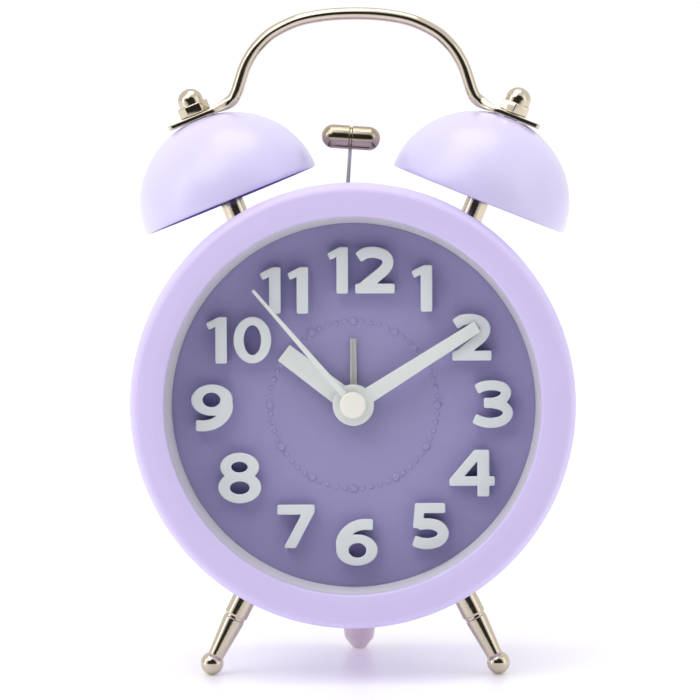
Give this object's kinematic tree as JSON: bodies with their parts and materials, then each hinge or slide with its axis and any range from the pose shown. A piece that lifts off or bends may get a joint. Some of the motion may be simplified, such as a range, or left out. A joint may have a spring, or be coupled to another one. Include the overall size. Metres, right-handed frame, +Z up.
{
  "type": "twin bell alarm clock",
  "caption": "Round quartz alarm clock with twin bells on top, a hammer between them, a carrying handle, splayed ball feet and a rear foot.",
  "frame": {"origin": "middle of the bounding box, on the surface the clock stands on", "axes": "+Z up, +X to the right of the dial as it is read, -Y the way the dial faces"},
  "size_m": [0.088, 0.0576, 0.1297],
  "materials": {
    "lilac_plastic": "satin moulded plastic, lilac",
    "bell_enamel": "smooth satin enamel on pressed steel, pale lilac",
    "dial_purple": "fine satin moulded dial, dusty purple, raised figures with pale tops",
    "hand_white": "satin white plastic",
    "cap_white": "smooth warm white plastic",
    "reflector_grey": "satin pale grey plastic",
    "lens_clear": "clear polished acrylic",
    "nickel_plate": "bright warm nickel plate",
    "steel": "plain zinc-plated steel",
    "copper_wire": "enamelled copper winding",
    "foot_plastic": "soft satin plastic, pinkish lilac",
    "inner_plastic": "natural white moulded plastic",
    "gear_plastic": "natural acetal",
    "board_green": "green lacquered circuit board",
    "cell_jacket": "plain dark film jacket with bright ends, no print"
  },
  "bodies": {
    "clock": {"front_bezel": "lilac_plastic", "case_shell": "lilac_plastic", "rear_cover": "lilac_plastic", "left_bell": "bell_enamel", "right_bell": "bell_enamel", "dial_plate": "dial_purple", "reflector_ring": "reflector_grey", "lens": "lens_clear", "left_bell_post": "nickel_plate", "right_bell_post": "nickel_plate", "left_dome_nut": "nickel_plate", "right_dome_nut": "nickel_plate", "handle": "nickel_plate", "left_leg": "nickel_plate", "right_leg": "nickel_plate", "left_bell_stud": "steel", "right_bell_stud": "steel", "hammer_pivot_pin": "steel", "striker_core": "steel", "left_leg_nut": "steel", "right_leg_nut": "steel", "battery_spring": "steel", "battery_contact": "steel", "cover_screw_left": "steel", "cover_screw_right": "steel", "stator": "steel", "quartz_crystal": "steel", "striker_winding": "copper_wire", "drive_coil": "copper_wire", "rear_foot": "foot_plastic", "striker_bobbin": "inner_plastic", "striker_bracket": "inner_plastic", "gear_bridge": "inner_plastic", "movement_front": "inner_plastic", "movement_back": "inner_plastic", "circuit_board": "board_green", "battery_cell": "cell_jacket"},
    "hammer": {"hammer_head": "nickel_plate", "hammer_wire": "nickel_plate", "hammer_rocker": "gear_plastic", "hammer_magnet": "steel"},
    "seconds": {"second_wheel": "gear_plastic", "second_hand": "hand_white", "second_hand_cap": "cap_white"},
    "fifth": {"fifth_wheel": "gear_plastic"},
    "stepper": {"rotor": "steel"},
    "third": {"third_wheel": "gear_plastic"},
    "centre": {"centre_wheel": "gear_plastic"},
    "minutes": {"minute_pinion": "gear_plastic", "minute_hand": "hand_white"},
    "hours": {"hour_wheel": "gear_plastic", "hour_hand": "hand_white"},
    "time_setter": {"minute_wheel": "gear_plastic", "time_set_knob": "hand_white"},
    "alarm": {"alarm_wheel": "gear_plastic", "alarm_hand": "nickel_plate"},
    "alarm_setter": {"alarm_setting_arbor": "gear_plastic", "alarm_set_knob": "hand_white"},
    "switch": {"alarm_switch": "hand_white"},
    "door": {"battery_door": "lilac_plastic"}
  },
  "joints": [
    {"name": "hammer_swing", "type": "hinge", "parent": "clock", "child": "hammer", "pos_m": [-0.00244, 0.00358, 0.07931], "axis": [0, 0.9903, -0.1392], "range_deg": [-8.2, 10.2], "stiffness_Nm_per_rad": 0.002, "springref_deg": -0.78},
    {"name": "second_hand_turn", "type": "hinge", "parent": "clock", "child": "seconds", "pos_m": [0, -0.00329, 0.052], "axis": [0, 0.9903, -0.1392], "continuous": true},
    {"name": "fifth_wheel_turn", "type": "hinge", "parent": "clock", "child": "fifth", "pos_m": [0, -0.00429, 0.04487], "axis": [0, 0.9903, -0.1392], "continuous": true},
    {"name": "rotor_turn", "type": "hinge", "parent": "clock", "child": "stepper", "pos_m": [0.00493, -0.00454, 0.04309], "axis": [0, 0.9903, -0.1392], "continuous": true},
    {"name": "third_wheel_turn", "type": "hinge", "parent": "clock", "child": "third", "pos_m": [0, -0.00231, 0.05894], "axis": [0, 0.9903, -0.1392], "continuous": true},
    {"name": "centre_wheel_turn", "type": "hinge", "parent": "clock", "child": "centre", "pos_m": [0, -0.00329, 0.052], "axis": [0, 0.9903, -0.1392], "continuous": true},
    {"name": "minute_hand_turn", "type": "hinge", "parent": "clock", "child": "minutes", "pos_m": [0, -0.00329, 0.052], "axis": [0, 0.9903, -0.1392], "continuous": true},
    {"name": "hour_hand_turn", "type": "hinge", "parent": "clock", "child": "hours", "pos_m": [0, -0.00329, 0.052], "axis": [0, 0.9903, -0.1392], "continuous": true},
    {"name": "time_set_turn", "type": "hinge", "parent": "clock", "child": "time_setter", "pos_m": [-0.008, -0.00329, 0.052], "axis": [0, 0.9903, -0.1392], "continuous": true},
    {"name": "alarm_hand_turn", "type": "hinge", "parent": "clock", "child": "alarm", "pos_m": [0, -0.00329, 0.052], "axis": [0, 0.9903, -0.1392], "continuous": true},
    {"name": "alarm_set_turn", "type": "hinge", "parent": "clock", "child": "alarm_setter", "pos_m": [0.0088, -0.00329, 0.052], "axis": [0, 0.9903, -0.1392], "continuous": true},
    {"name": "alarm_switch_slide", "type": "slide", "parent": "clock", "child": "switch", "axis": [0, 0.1392, 0.9903], "range_m": [0, 0.004]},
    {"name": "battery_door_off", "type": "slide", "parent": "clock", "child": "door", "axis": [0, 0.9903, -0.1392], "range_m": [0, 0.03]}
  ],
  "couplings": [
    {"joint": "third_wheel_turn", "follows": "second_hand_turn", "ratio": -0.13333},
    {"joint": "centre_wheel_turn", "follows": "second_hand_turn", "ratio": 0.016667},
    {"joint": "fifth_wheel_turn", "follows": "second_hand_turn", "ratio": -5},
    {"joint": "rotor_turn", "follows": "second_hand_turn", "ratio": 30},
    {"joint": "hour_hand_turn", "follows": "minute_hand_turn", "ratio": 0.083333},
    {"joint": "time_set_turn", "follows": "minute_hand_turn", "ratio": -0.33333},
    {"joint": "alarm_set_turn", "follows": "alarm_hand_turn", "ratio": -2.6667}
  ]
}
